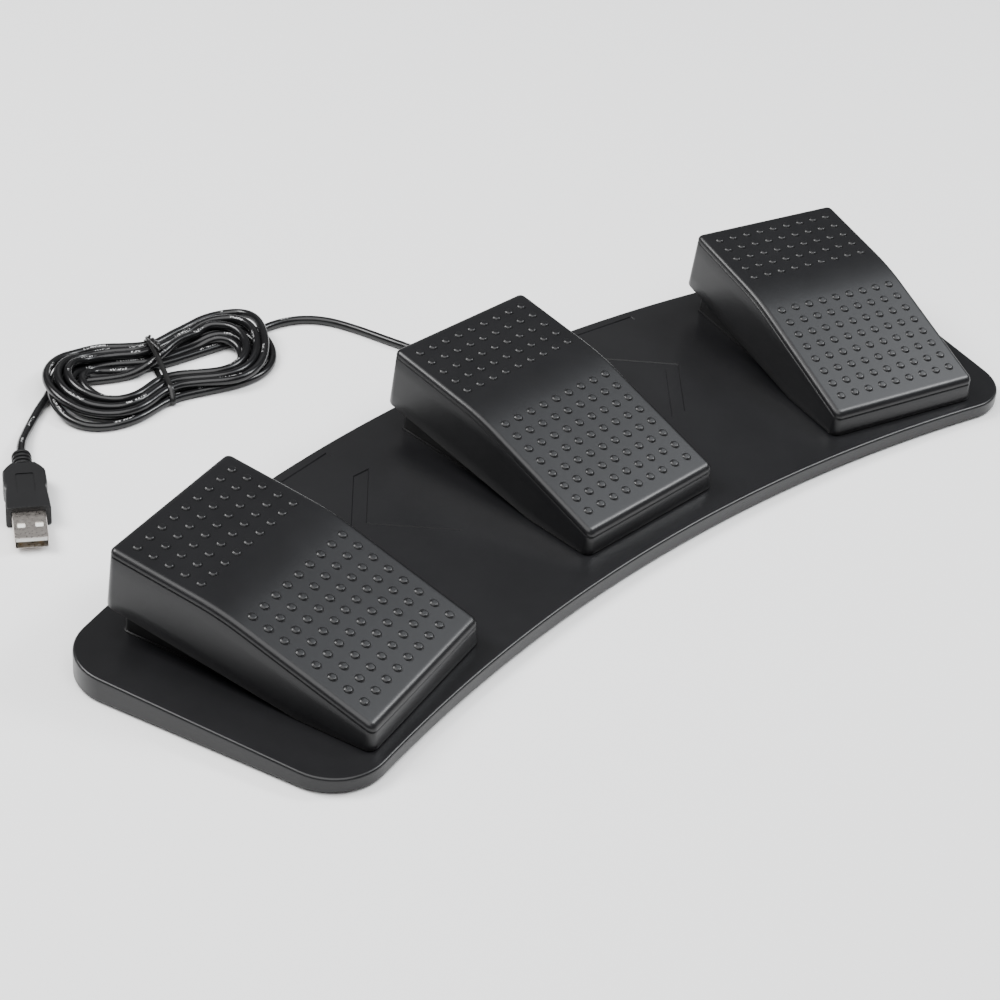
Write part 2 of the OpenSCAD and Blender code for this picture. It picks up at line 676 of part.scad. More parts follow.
base_shell();
base_cover();
rubber_feet();
cover_screws();
housing_screws();
ballast_plate(1);  // left_ballast_plate
ballast_plate(-1);  // right_ballast_plate
at_pedal(1) pedal();  // left_pedal
at_pedal(0) pedal();  // middle_pedal
at_pedal(-1) pedal();  // right_pedal
at_pedal(1) housing();  // left_housing
at_pedal(0) housing();  // middle_housing
at_pedal(-1) housing();  // right_housing
at_pedal(1) hinge_shaft();  // left_hinge_shaft
at_pedal(0) hinge_shaft();  // middle_hinge_shaft
at_pedal(-1) hinge_shaft();  // right_hinge_shaft
at_pedal(1) return_spring();  // left_return_spring
at_pedal(0) return_spring();  // middle_return_spring
at_pedal(-1) return_spring();  // right_return_spring
at_pedal(1) microswitch();  // left_microswitch
at_pedal(0) microswitch();  // middle_microswitch
at_pedal(-1) microswitch();  // right_microswitch
at_pedal(1) switch_lever();  // left_switch_lever
at_pedal(0) switch_lever();  // middle_switch_lever
at_pedal(-1) switch_lever();  // right_switch_lever
at_pedal(1) switch_button();  // left_switch_button
at_pedal(0) switch_button();  // middle_switch_button
at_pedal(-1) switch_button();  // right_switch_button
at_pedal(1) switch_terminals();  // left_switch_terminals
at_pedal(0) switch_terminals();  // middle_switch_terminals
at_pedal(-1) switch_terminals();  // right_switch_terminals
at_pedal(1) switch_screws();  // left_switch_screws
at_pedal(0) switch_screws();  // middle_switch_screws
at_pedal(-1) switch_screws();  // right_switch_screws
switch_wires(1);  // left_switch_wires
switch_wires(0);  // middle_switch_wires
switch_wires(-1);  // right_switch_wires
controller_board();
board_parts();
board_screws();
lead_tail();
lead_clamp();
clamp_screws();
strain_relief();
lead_run();
lead_hank();
hank_tie();
plug_run();
plug_overmould();
plug_shell();
plug_tongue();
plug_contacts();
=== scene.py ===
import json
import math

import bmesh
import bpy
import numpy as np
from mathutils import Matrix, Vector


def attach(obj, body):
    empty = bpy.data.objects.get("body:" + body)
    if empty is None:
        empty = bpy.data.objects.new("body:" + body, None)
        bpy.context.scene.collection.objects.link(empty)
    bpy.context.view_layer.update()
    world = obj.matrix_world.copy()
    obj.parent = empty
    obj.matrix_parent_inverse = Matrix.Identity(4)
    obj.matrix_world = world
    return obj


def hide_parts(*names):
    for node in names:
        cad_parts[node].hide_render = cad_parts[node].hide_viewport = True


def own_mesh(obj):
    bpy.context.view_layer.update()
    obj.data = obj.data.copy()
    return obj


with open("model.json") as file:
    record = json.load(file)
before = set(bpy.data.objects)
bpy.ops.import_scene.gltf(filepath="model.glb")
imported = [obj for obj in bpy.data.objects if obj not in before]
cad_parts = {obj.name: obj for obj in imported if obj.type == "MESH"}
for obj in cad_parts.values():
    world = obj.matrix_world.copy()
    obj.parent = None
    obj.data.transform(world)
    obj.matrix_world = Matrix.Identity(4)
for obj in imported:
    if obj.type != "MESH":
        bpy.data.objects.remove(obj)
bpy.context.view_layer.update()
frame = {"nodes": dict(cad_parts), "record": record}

MM = 0.001

# ---------------------------------------------------------------- camera and lights

CAMERA_AT = Vector((-0.5966, -0.4835, 0.5086))
CAMERA_AIM = Vector((-0.0236, 0.0131, 0.0))
CAMERA_ROLL = math.radians(4.91)
CAMERA_LENS = 88.8


def new_object(name, data):
    made = bpy.data.objects.new(name, data)
    bpy.context.scene.collection.objects.link(made)
    return made


def make_camera():
    data = bpy.data.cameras.new("camera")
    data.lens = CAMERA_LENS
    data.sensor_width = 36
    data.clip_start = 0.01
    camera = new_object("camera", data)
    look = (CAMERA_AIM - CAMERA_AT).to_track_quat("-Z", "Y").to_matrix().to_4x4()
    camera.matrix_world = Matrix.Translation(CAMERA_AT) @ look @ Matrix.Rotation(CAMERA_ROLL, 4, "Z")
    bpy.context.scene.camera = camera


def area_light(name, place, aim, size, power, colour=(1, 1, 1)):
    data = bpy.data.lights.new(name, "AREA")
    data.color = colour
    data.shape = "RECTANGLE"
    data.size, data.size_y = size
    data.energy = power
    light = new_object(name, data)
    light.location = place
    light.rotation_euler = (Vector(aim) - Vector(place)).to_track_quat("-Z", "Y").to_euler()


def make_lights():
    area_light("key", (0.98, -0.4, 1.2), (0, 0, 0), (1.0, 0.8), 10, (0.9, 0.95, 1))
    area_light("overhead", (-0.5, -0.4, 2.0), (0, 0, 0), (2.4, 2.4), 74)
    area_light("left", (-0.68, 0.88, 1.28), (-0.05, 0, 0), (0.7, 0.7), 34)
    area_light("front", (1.11, -0.51, 1.18), (0, 0, 0), (0.35, 0.35), 12)
    area_light("back", (1.15, 1.3, 1.0), (0, 0, 0), (1.1, 0.8), 1.0)
    world = bpy.data.worlds.new("studio")
    world.use_nodes = True
    world.node_tree.nodes["Background"].inputs["Color"].default_value = (1, 1, 1, 1)
    world.node_tree.nodes["Background"].inputs["Strength"].default_value = 0.1
    bpy.context.scene.world = world


# ---------------------------------------------------------------- materials


class Shader:
    """A Principled material with short helpers for its procedural nodes."""

    def __init__(self, name, colour, rough, metal=0.0, specular=0.5):
        self.material = bpy.data.materials.new(name)
        self.material.use_nodes = True
        self.tree = self.material.node_tree
        self.bsdf = self.tree.nodes["Principled BSDF"]
        self.set("Base Color", (*colour, 1))
        self.set("Roughness", rough)
        self.set("Metallic", metal)
        self.set("Specular IOR Level", specular)
        self.place = self.node("ShaderNodeTexCoord").outputs["Object"]

    def set(self, socket, value):
        self.bsdf.inputs[socket].default_value = value

    def node(self, kind, **values):
        made = self.tree.nodes.new(kind)
        for name, value in values.items():
            setattr(made, name, value)
        return made

    def link(self, output, target, socket):
        self.tree.links.new(output, target.inputs[socket])

    def stretched(self, factors, where=None):
        """Coordinates scaled along each axis, the object's own unless others are given."""
        mapping = self.node("ShaderNodeMapping")
        mapping.inputs["Scale"].default_value = factors
        self.link(where or self.place, mapping, "Vector")
        return mapping.outputs["Vector"]

    def noise(self, size_mm, detail=2.0, where=None):
        """Noise whose features are about size_mm across."""
        made = self.node("ShaderNodeTexNoise")
        made.inputs["Scale"].default_value = 1 / (size_mm * MM)
        made.inputs["Detail"].default_value = detail
        self.link(where or self.place, made, "Vector")
        return made.outputs["Fac"]

    def ramp(self, source, low, high, start=0.3, end=0.7):
        """Maps the range from start to end onto the range from low to high."""
        made = self.node("ShaderNodeMapRange")
        for socket, value in zip(("From Min", "From Max", "To Min", "To Max"), (start, end, low, high)):
            made.inputs[socket].default_value = value
        self.link(source, made, "Value")
        return made.outputs["Result"]

    def calc(self, operation, *values):
        """One step of arithmetic on node outputs."""
        made = self.node("ShaderNodeMath", operation=operation)
        for i, value in enumerate(values):
            self.link(value, made, i)
        return made.outputs["Value"]

    def mixed(self, source, low, high):
        """Mixes two colours by a 0 to 1 value."""
        made = self.node("ShaderNodeMix", data_type="RGBA")
        made.inputs["A"].default_value = (*low, 1)
        made.inputs["B"].default_value = (*high, 1)
        self.link(source, made, "Factor")
        return made.outputs["Result"]

    def paint(self, socket, output):
        self.link(output, self.bsdf, socket)

    def bump(self, source, height_mm):
        """Gives the surface relief from a 0 to 1 value."""
        made = self.node("ShaderNodeBump")
        made.inputs["Distance"].default_value = height_mm * MM
        self.link(source, made, "Height")
        self.paint("Normal", made.outputs["Normal"])


def moulded(name, colour, rough, grain_mm=0.28, grain_height=0.012, spread=0.12):
    """Moulded plastic: fine eroded grain, slight cloudiness in colour and gloss."""
    s = Shader(name, colour, rough, specular=0.36)
    cloudy = s.noise(22, 3)
    darker = [c * (1 - spread) for c in colour]
    lighter = [c * (1 + spread) for c in colour]
    s.paint("Base Color", s.mixed(s.ramp(cloudy, 0, 1), darker, lighter))
    s.paint("Roughness", s.ramp(s.noise(7, 4), rough - 0.014, rough + 0.014))
    s.bump(s.noise(grain_mm, 3), grain_height)
    return s.material


def metal(name, colour, rough, streak, size_mm):
    """Plated or drawn metal with fine streaks."""
    s = Shader(name, colour, rough, metal=1.0)
    streaks = s.noise(size_mm, 3, s.stretched(streak))
    s.paint("Base Color", s.mixed(s.ramp(streaks, 0, 1), [c * 0.86 for c in colour], colour))
    s.paint("Roughness", s.ramp(streaks, rough - 0.06, rough + 0.08))
    s.bump(streaks, 0.006)
    return s.material


def jacket(name, colour, rough):
    """Smooth cable jacket with a broken line of pale print along it, wandering round the cable."""
    s = Shader(name, colour, rough, specular=0.4)
    s.paint("Roughness", s.ramp(s.noise(9, 3), rough - 0.03, rough + 0.03))
    s.bump(s.noise(0.9, 2), 0.012)
    unrolled = s.node("ShaderNodeUVMap", uv_map="along").outputs["UV"]
    lengthwise = s.stretched((1, 0, 0), unrolled)
    parts = s.node("ShaderNodeSeparateXYZ")
    s.link(unrolled, parts, "Vector")
    middle = s.ramp(s.noise(120, 1, lengthwise), 0.0012, 0.0046, 0.25, 0.75)
    from_middle = s.calc("ABSOLUTE", s.calc("SUBTRACT", parts.outputs["Y"], middle))
    line = s.ramp(from_middle, 1, 0, 0.00034, 0.00044)
    strokes = s.ramp(s.noise(0.5, 0, s.stretched((1, 0.6, 1), unrolled)), 0, 1, 0.53, 0.58)
    words = s.ramp(s.noise(14, 1, lengthwise), 0, 1, 0.55, 0.56)
    ink = s.calc("MULTIPLY", s.calc("MULTIPLY", line, strokes), words)
    s.paint("Base Color", s.mixed(ink, colour, (0.42, 0.42, 0.42)))
    return s.material


BLACK = (0.007, 0.007, 0.0078)
MATERIALS = {
    "black_abs": moulded("black_abs", BLACK, 0.33),
    "cover_abs": moulded("cover_abs", (0.015, 0.015, 0.016), 0.5, grain_mm=0.5, grain_height=0.02),
    "inner_abs": moulded("inner_abs", (0.008, 0.008, 0.0085), 0.42, grain_mm=0.4, grain_height=0.015),
    "foot_rubber": moulded("foot_rubber", (0.022, 0.022, 0.022), 0.75, grain_mm=0.6, grain_height=0.03),
    "screw_steel": metal("screw_steel", (0.58, 0.58, 0.6), 0.34, (1, 1, 1), 0.4),
    "plate_steel": metal("plate_steel", (0.5, 0.5, 0.5), 0.42, (1, 30, 30), 3),
    "shaft_steel": metal("shaft_steel", (0.6, 0.6, 0.62), 0.25, (30, 1, 1), 2),
    "spring_steel": metal("spring_steel", (0.52, 0.52, 0.53), 0.3, (1, 1, 1), 0.5),
    "switch_case": moulded("switch_case", (0.02, 0.02, 0.021), 0.3),
    "lever_steel": metal("lever_steel", (0.6, 0.6, 0.6), 0.3, (1, 20, 1), 1),
    "button_red": moulded("button_red", (0.45, 0.025, 0.02), 0.3),
    "terminal_brass": metal("terminal_brass", (0.72, 0.6, 0.36), 0.35, (1, 1, 8), 0.5),
    "wire_pvc": moulded("wire_pvc", (0.3, 0.02, 0.02), 0.38),
    "board_green": moulded("board_green", (0.012, 0.13, 0.05), 0.35, grain_mm=0.8, grain_height=0.02),
    "board_parts": moulded("board_parts", (0.02, 0.02, 0.02), 0.5),
    "lead_pvc": jacket("lead_pvc", (0.006, 0.006, 0.0065), 0.24),
    "moulded_pvc": moulded("moulded_pvc", (0.008, 0.008, 0.0085), 0.42, grain_mm=0.35, grain_height=0.014),
    "tie_plastic": moulded("tie_plastic", (0.009, 0.009, 0.009), 0.25),
    "plug_nickel": metal("plug_nickel", (0.7, 0.65, 0.61), 0.3, (1, 1, 1), 1.1),
    "tongue_plastic": moulded("tongue_plastic", (0.7, 0.7, 0.67), 0.45, spread=0.05),
    "contact_gold": metal("contact_gold", (0.86, 0.62, 0.28), 0.22, (1, 1, 6), 0.5),
}


# ---------------------------------------------------------------- making pieces


def mesh_piece(name, points, faces, slot, body, replaces, crease=40):
    """A visible piece on a body, in place of the CAD's nodes that are named in replaces."""
    piece = new_object(name, new_mesh(name, points, faces, crease))
    piece.data.materials.append(MATERIALS[slot])
    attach(piece, body)
    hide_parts(*replaces)
    return piece


def new_mesh(name, points, faces, crease):
    """A mesh from points in millimetres, smooth-shaded except across edges sharper than crease."""
    mesh = bpy.data.meshes.new(name)
    mesh.from_pydata([tuple(c * MM for c in p) for p in points], [], faces)
    finish_mesh(mesh, crease)
    return mesh


def finish_mesh(mesh, crease):
    """Joins doubled points, turns the faces outwards and marks the sharp edges."""
    bm = bmesh.new()
    bm.from_mesh(mesh)
    bmesh.ops.remove_doubles(bm, verts=bm.verts, dist=1e-6)
    bmesh.ops.recalc_face_normals(bm, faces=bm.faces)
    for face in bm.faces:
        face.smooth = True
    for edge in bm.edges:
        edge.smooth = edge.calc_face_angle(math.pi) < math.radians(crease)
    bm.to_mesh(mesh)
    bm.free()


class Solid:
    """Collects points and faces of closed shapes that make up one piece."""

    def __init__(self):
        self.points, self.faces = [], []

    def add(self, points, faces, place=None):
        first = len(self.points)
        for p in points:
            v = Vector(p)
            self.points.append(tuple(place @ v if place else v))
        self.faces += [tuple(first + i for i in f) for f in faces]

    def rings(self, rings, place=None):
        """Skins a stack of closed rings of equal length and fills the first and the last."""
        count, n = len(rings), len(rings[0])
        faces = ring_faces(count, n) + strips(0, n) + strips((count - 1) * n, n)
        self.add([p for ring in rings for p in ring], faces, place)

    def prism(self, outline, z0, z1, place=None):
        """Extrudes an outline drawn in x and y."""
        n = len(outline)
        points = [(x, y, z) for z in (z0, z1) for x, y in outline]
        self.add(points, ring_faces(2, n) + end_faces(2, n), place)

    def bevelled(self, outline, depth, bevel, place=None):
        """A recess below z = 0 whose walls slope in by bevel; its outline may go either way round."""
        n = len(outline)
        pairs = [(outline[i - 1], outline[i]) for i in range(n)]
        area = sum(a[0] * b[1] - b[0] * a[1] for a, b in pairs)
        turn = math.copysign(1, area)
        low = []
        for i in range(n):
            a, b, c = (Vector(outline[j % n]) for j in (i - 1, i, i + 1))
            one, two = (b - a).normalized(), (c - b).normalized()
            inward = [turn * Vector((-w.y, w.x)) for w in (one, two)]
            low.append(b + bevel * (inward[0] + inward[1]) / (1 + inward[0].dot(inward[1])))
        points = [(x, y, -depth) for x, y in low] + [(x, y, z) for z in (0, 2) for x, y in outline]
        self.add(points, ring_faces(3, n) + end_faces(3, n), place)

    def box(self, x, y, z, place=None):
        self.prism([(x[0], y[0]), (x[1], y[0]), (x[1], y[1]), (x[0], y[1])], z[0], z[1], place)

    def lathe(self, profile, place=None, n=32):
        """Turns a profile of (along, radius) about the z axis."""
        rings = [
            [(r * math.cos(2 * math.pi * k / n), r * math.sin(2 * math.pi * k / n), z) for k in range(n)]
            for z, r in profile
        ]
        self.rings(rings, place)


def ring_faces(count, n, closed=False):
    """Faces between neighbouring rings of n points, the last ring joined to the first if closed."""
    faces = []
    for i in range(count if closed else count - 1):
        for k in range(n):
            here, there, turn = i * n, (i + 1) % count * n, (k + 1) % n
            faces.append((here + k, here + turn, there + turn, there + k))
    return faces


def end_faces(count, n):
    """One face over the first of count rings of n points, and one over the last."""
    return [tuple(range(n))[::-1], tuple(range((count - 1) * n, count * n))]


def strips(first, n):
    """Faces that fill a ring whose points mirror each other: i and n - 1 - i face each other."""
    return [(first + i, first + i + 1, first + n - 2 - i, first + n - 1 - i) for i in range(n // 2 - 1)]


def side_outline(half_w, y0, y1, r, inset, stations):
    """Left side of a round-cornered outline from front to rear, moved inwards by inset."""
    rho = max(r - inset, 0.05)
    cx = -half_w + r
    corner = [math.pi * (1.5 - 0.5 * i / 8) for i in range(9)]
    front = [(cx + rho * math.cos(a), y0 + r + rho * math.sin(a)) for a in corner]
    rear = [(cx + rho * math.sin(a), y1 - r - rho * math.cos(a)) for a in corner]
    return front + [(cx - rho, y) for y in stations] + rear


def box_ring(half_w, y0, y1, r, inset, stations, height):
    """Closed ring round a round-cornered outline, at a height that depends on y."""
    left = side_outline(half_w, y0, y1, r, inset, stations)
    left = [(x, y, height(y)) for x, y in left]
    return left + [(-x, y, z) for x, y, z in reversed(left)]


# ---------------------------------------------------------------- lead

CORD_D = 3.4
CORD_R = CORD_D / 2
CORD_STEP = 2.4
HANK_CENTRE = (-64.0, 159.6)
HANK_TURN = math.radians(-14)
# The lead's route from its outlet to the hank, and from the hank to the plug, in metres
RUN_ROUTE = [
    (0.02875, 0.0881, 0.0064), (0.0289, 0.091, 0.0062), (0.0289, 0.095, 0.0052), (0.0286, 0.099, 0.0036),
    (0.028, 0.103, 0.0023), (0.0271, 0.107, 0.0018), (0.0258, 0.112, 0.0017), (0.0243, 0.1174, 0.0017),
    (0.0229, 0.123, 0.0017), (0.0215, 0.1288, 0.0017), (0.02, 0.1346, 0.0017), (0.0181, 0.1406, 0.0017),
    (0.0156, 0.1466, 0.0017), (0.012, 0.1518, 0.0017), (0.0073, 0.1558, 0.0017), (0.0018, 0.1584, 0.0017),
    (-0.004, 0.1597, 0.0017), (-0.01, 0.1599, 0.0017), (-0.016, 0.1591, 0.0017),
]
PLUG_ROUTE = [
    (-0.108, 0.1734, 0.0017), (-0.1116, 0.1711, 0.0017), (-0.1158, 0.1684, 0.0017),
    (-0.1202, 0.1653, 0.0017), (-0.1246, 0.162, 0.0018), (-0.1288, 0.1587, 0.0021),
    (-0.1327, 0.1553, 0.0028), (-0.1366, 0.1515, 0.0036), (-0.1402, 0.1473, 0.0041),
    (-0.1428, 0.1437, 0.0042),
]
# One value for each of the hank's seven turns, four on the floor from the inside out and then three
# on top from the outside in: how far it reaches from the hank's centre, the radius of its lobe, how
# far the lobe leans to the rear, and how steeply that lean grows, for the left and the right end
LEFT_END = {
    "reach": [33, 37, 41.5, 47.5, 46, 41.5, 37],
    "lobe": [14, 16, 19.6, 22.8, 24, 20.4, 16.8],
    "lean": [1.5, -1, -5, -9.5, -1.5, 0, 1.5],
    "growth": [2, 2, 2, 2, 2, 2, 2],
}
RIGHT_END = {
    "reach": [35.5, 40, 44.5, 49.5, 50, 45, 39.3],
    "lobe": [14, 14.9, 16.6, 17.8, 23, 18.8, 15.8],
    "lean": [1.5, 2, 2.5, 3.2, 16, 9.5, 5],
    "growth": [2, 2, 2, 2, 3, 2.8, 2],
}
# Distance of each turn from the waist's middle, on its far and its near side
WAIST_FAR = [9.2, 12.8, 16.1, 18.8, 17.6, 14.2, 10.8]
WAIST_NEAR = [6.2, 9.6, 13, 16.4, 14.8, 11.4, 8]
WAIST_LIMIT = 18.8
# Distance from the waist within which the left end's far side widens
LEFT_FAR_WIDENS = 17
LAYER = [0, 0, 0, 0, 1, 1, 1]
LAYER_RISE = 3.2
# Winding starts this angle past the waist's far side, where each turn grows into the next over this
# part of a turn
START_PAST = 0.75
GROWS_OVER = 0.14
TURNS = 6.76
# Distance over which a turn rises beside the lead's way in and out
HUMP = 16


def hank_frame(points, inverse=False):
    """Turns points between the row frame and the hank's own frame, both in mm."""
    a = -HANK_TURN if inverse else HANK_TURN
    turn = np.array([[math.cos(a), -math.sin(a)], [math.sin(a), math.cos(a)]])
    out = np.array(points, float)
    if inverse:
        out[:, :2] = (out[:, :2] - HANK_CENTRE) @ turn.T
    else:
        out[:, :2] = out[:, :2] @ turn.T + HANK_CENTRE
    return out


def respaced(points, step):
    """The same line with its points about step apart."""
    along = np.concatenate([[0], np.cumsum(np.linalg.norm(np.diff(points, axis=0), axis=1))])
    at = np.linspace(0, along[-1], max(2, round(along[-1] / step) + 1))
    return np.stack([np.interp(at, along, points[:, k]) for k in range(3)], axis=1)


def curve_through(points, n=8):
    """A smooth curve through points, n steps between each two."""
    p = np.array(points, float)
    q = np.vstack([2 * p[0] - p[1], p, 2 * p[-1] - p[-2]])
    out = []
    for i in range(1, len(q) - 2):
        a, b, c, d = q[i - 1 : i + 3]
        for t in np.arange(n) / n:
            out.append(0.5 * (2 * b + (c - a) * t + (2 * a - 5 * b + 4 * c - d) * t**2
                              + (3 * b - a - 3 * c + d) * t**3))
    return np.array(out + [p[-1]])


def distance_to(points, line):
    """Distance in plan from each point to a line's nearest point."""
    gaps = points[:, None, :2] - line[None, :, :2]
    return np.sqrt((gaps**2).sum(2)).min(1)


def wound_turns():
    """The hank's turns before they settle: stadium loops that are narrow at the waist."""
    points = []
    steps = 72
    of_turn = np.arange(len(LAYER))
    for i in range(int(TURNS * steps) + 1):
        k = i / steps
        angle = 2 * math.pi * k + math.pi / 2 + START_PAST
        c, s = math.cos(angle), math.sin(angle)
        end, waist = RIGHT_END if c > 0 else LEFT_END, WAIST_FAR if s > 0 else WAIST_NEAR
        # each turn grows into the next at the waist's far side
        grown = k + START_PAST / (2 * math.pi) + GROWS_OVER / 2
        whole = math.floor(grown)
        rise = min((grown - whole) / GROWS_OVER, 1)
        at = min(max(whole - 1 + rise * rise * (3 - 2 * rise), 0), len(LAYER) - 1)
        reach, lobe, lean, growth, narrow, layer = (
            np.interp(at, of_turn, v) for v in (*end.values(), waist, LAYER))
        x = reach * c
        core = reach - lobe
        if abs(x) > core:
            y = lobe * math.sqrt(max(0.0, 1 - ((abs(x) - core) / lobe) ** 2))
        else:
            widens_over = min(core, LEFT_FAR_WIDENS) if c < 0 < s else core
            y = narrow + (lobe - narrow) * 0.5 * (1 - math.cos(math.pi * min(abs(x) / widens_over, 1)))
        y = math.copysign(y, s) + lean * abs(c) ** growth
        points.append((x, y, CORD_R + LAYER_RISE * layer))
    return respaced(np.array(points), CORD_STEP)


def first_shape():
    """The lead before it settles, in the hank's frame, and how many points are held at each end."""
    run = hank_frame(curve_through(np.array(RUN_ROUTE) / MM), True)
    plug = hank_frame(curve_through(np.array(PLUG_ROUTE) / MM), True)
    turns = wound_turns()
    way_in = curve_through([run[-1], (39, 10.3, CORD_R), (28, 10, CORD_R), (14, 9.3, CORD_R),
                            (0, 8.8, CORD_R), (-12, 9.8, CORD_R), turns[0]])
    way_out = curve_through([turns[-1], (15, 12.5, 7.4), (6, 7.6, 7), (-2, 5.2, 4.4), (-10, 4.6, 2.2),
                             (-18, 5.4, CORD_R), (-27, 7.4, CORD_R), (-35, 8.6, CORD_R),
                             (-41.5, 7.6, CORD_R), plug[0]])
    under = np.vstack([run[-24:], way_in[:20], way_out[-30:], plug[:16]])
    lift = np.exp(-((distance_to(turns, under) / HUMP) ** 2)) * (np.abs(turns[:, 0]) > 27)
    turns[:, 2] += CORD_D * lift
    for _ in range(3):
        turns[1:-1] = 0.25 * turns[:-2] + 0.5 * turns[1:-1] + 0.25 * turns[2:]
    middle = respaced(np.vstack([way_in, turns[1:], way_out[1:]]), CORD_STEP)
    run, plug = respaced(run, CORD_STEP), respaced(plug, CORD_STEP)
    return np.vstack([run, middle[1:], plug[1:]]), len(run), len(plug)


def settled(p, held_first, held_last, rounds):
    """Lets the lead lie down: it keeps its length, bends stiffly and stays off itself and the floor."""
    sink, stiffness, margin, crossing, parting, haste = 0.025, 0.5, 2.5, 0.75, 0.01, 1.4
    p = p.copy()
    n = len(p)
    rest = np.linalg.norm(np.diff(p, axis=0), axis=1)
    start = p.copy()
    free = np.ones(n, bool)
    free[:held_first] = False
    free[n - held_last:] = False
    for it in range(rounds):
        p[free, 2] -= sink
        # stiffness: each point's move is shared with its neighbours
        moved = p - start
        p[3:-3] -= stiffness * (moved[3:-3] - (moved[:-6] + moved[6:]) / 2)
        if it % 8 == 0:
            gap = p[:, None, :] - p[None, :, :]
            close = (gap**2).sum(2) < (CORD_D + margin) ** 2
            near_i, near_j = np.nonzero(np.triu(close, 4))
            way = np.gradient(p, axis=0)
            way /= np.linalg.norm(way, axis=1)[:, None]
            across = np.abs((way[near_i] * way[near_j]).sum(1)) < crossing
        for _ in range(3):
            d = p[near_i] - p[near_j]
            # stretches that cross part upwards, and stretches that lie along each other part sideways too
            flat = np.hypot(d[:, 0], d[:, 1])
            d[across, 2] += np.copysign(parting, d[across, 2])
            room = np.sqrt(np.maximum(CORD_D**2 - flat**2, 0)) - np.abs(d[:, 2])
            far = np.linalg.norm(d, axis=1)
            push = d * ((CORD_D - far) / np.maximum(far, 0.1) * 0.5)[:, None]
            push[across] = 0
            push[across, 2] = (np.sign(d[:, 2]) * room * 0.5)[across]
            push[np.where(across, room <= 0, far >= CORD_D)] = 0
            hit = push.any(axis=1)
            move, count = np.zeros_like(p), np.zeros(n)
            for which, sign in ((near_i, 1), (near_j, -1)):
                np.add.at(move, which[hit], sign * push[hit])
                np.add.at(count, which[hit], 1)
            p += move / np.maximum(count, 1)[:, None] * haste
            for first in (0, 1):
                a, b = p[first:-1:2], p[first + 1::2]
                d = b - a
                far = np.linalg.norm(d, axis=1)
                fix = d * ((far - rest[first::2]) / far * 0.5)[:, None]
                p[first:-1:2] += fix
                p[first + 1::2] -= fix
            waist = np.abs(p[:, 0]) < 4
            p[waist, 1] = np.clip(p[waist, 1], -WAIST_LIMIT, WAIST_LIMIT)
            p[:, 2] = np.maximum(p[:, 2], CORD_R)
            p[~free] = start[~free]
    return p


def smoothed(p, held_first, held_last, times=2):
    """Rounds off what settling leaves uneven, apart from the held ends."""
    for _ in range(times):
        q = p.copy()
        q[1:-1] = 0.25 * p[:-2] + 0.5 * p[1:-1] + 0.25 * p[2:]
        q[:held_first] = p[:held_first]
        q[len(p) - held_last:] = p[len(p) - held_last:]
        p = q
    return p


def tube(path, radius, sides):
    """Points and faces of a round tube along a path, turned as little as possible along its way."""
    path = np.array(path)
    ways = np.gradient(path, axis=0)
    ways /= np.linalg.norm(ways, axis=1)[:, None]
    side = np.cross(ways[0], (0, 0, 1.0))
    points = []
    for p, way in zip(path, ways):
        side = side - way * (side @ way)
        side /= np.linalg.norm(side)
        up = np.cross(side, way)
        for k in range(sides):
            a = 2 * math.pi * k / sides
            points.append(tuple(p + radius * (math.cos(a) * side + math.sin(a) * up)))
    return points, ring_faces(len(path), sides) + end_faces(len(path), sides)


def lay_along(mesh, path, sides):
    """UV map in metres: u along the tube, v round it."""
    along = np.concatenate([[0], np.cumsum(np.linalg.norm(np.diff(path, axis=0), axis=1))]) * MM
    layer = mesh.uv_layers.new(name="along")
    for polygon in mesh.polygons:
        turns = [mesh.loops[i].vertex_index % sides for i in polygon.loop_indices]
        over_seam = max(turns) - min(turns) > sides / 2
        for i, k in zip(polygon.loop_indices, turns):
            ring = mesh.loops[i].vertex_index // sides
            k += sides if over_seam and k < sides / 2 else 0
            layer.data[i].uv = (along[ring], k / sides * 2 * math.pi * CORD_R * MM)


def make_lead():
    shape, first, last = first_shape()
    shape = settled(shape, first, last, 260)
    shape = smoothed(shape, first, last)
    path = curve_through(hank_frame(shape), 2)
    sides = 14
    points, faces = tube(path, CORD_R, sides)
    lead = mesh_piece("lead", points, faces, "lead_pvc", "base", ("lead_run", "lead_hank", "plug_run"), 60)
    lay_along(lead.data, path, sides)
    return lead, path, shape


# ---------------------------------------------------------------- base and pedals

DECK_Y, DECK_Z = 43.9, 11.1
DECK_TILT = math.radians(2.4)
SPREAD = math.radians(15)
ARC_R = 594
SIDES = {"left": 1, "middle": 0, "right": -1}
FOOT_STAND, COVER_T, BASE_WALL = 1, 1.5, 2.5
REAR_C, REAR_R = -601, 629
FRONT_C, FRONT_R = -763, 668.5
SIDE_D, CORNER_R = 209, 20
OUTLET_X, OUTLET_Z = 28, 6.4
SLOT_ANGLE = math.radians(7.7)
COVER_SCREWS = [(-193, -34), (193, -34), (-168, -101), (168, -101), (-75, 15), (75, 15), (-70, -86),
                (70, -86), (0, -84)]
HOUSING_SCREWS = [(x, y) for x in (-24, 24) for y in (-70, 8)]
HINGE = (-52, 8.3)

IN_PLAN = Matrix.Translation((0, DECK_Y, 0))
ON_DECK = Matrix.Translation((0, DECK_Y, DECK_Z)) @ Matrix.Rotation(DECK_TILT, 4, "X")


def round_arc(angle):
    """Frame turned by an angle about the centre of the pedals' arc."""
    centre = Matrix.Translation((0, -ARC_R, 0))
    return centre @ Matrix.Rotation(angle, 4, "Z") @ centre.inverted()


def pedal_frame(side):
    return ON_DECK @ round_arc(SIDES[side] * SPREAD)


def deck_top(y):
    return DECK_Z + y * math.tan(DECK_TILT)


def arc_points(centre, radius, start, end, n):
    return [(centre[0] + radius * math.cos(start + (end - start) * i / n),
             centre[1] + radius * math.sin(start + (end - start) * i / n)) for i in range(n + 1)]


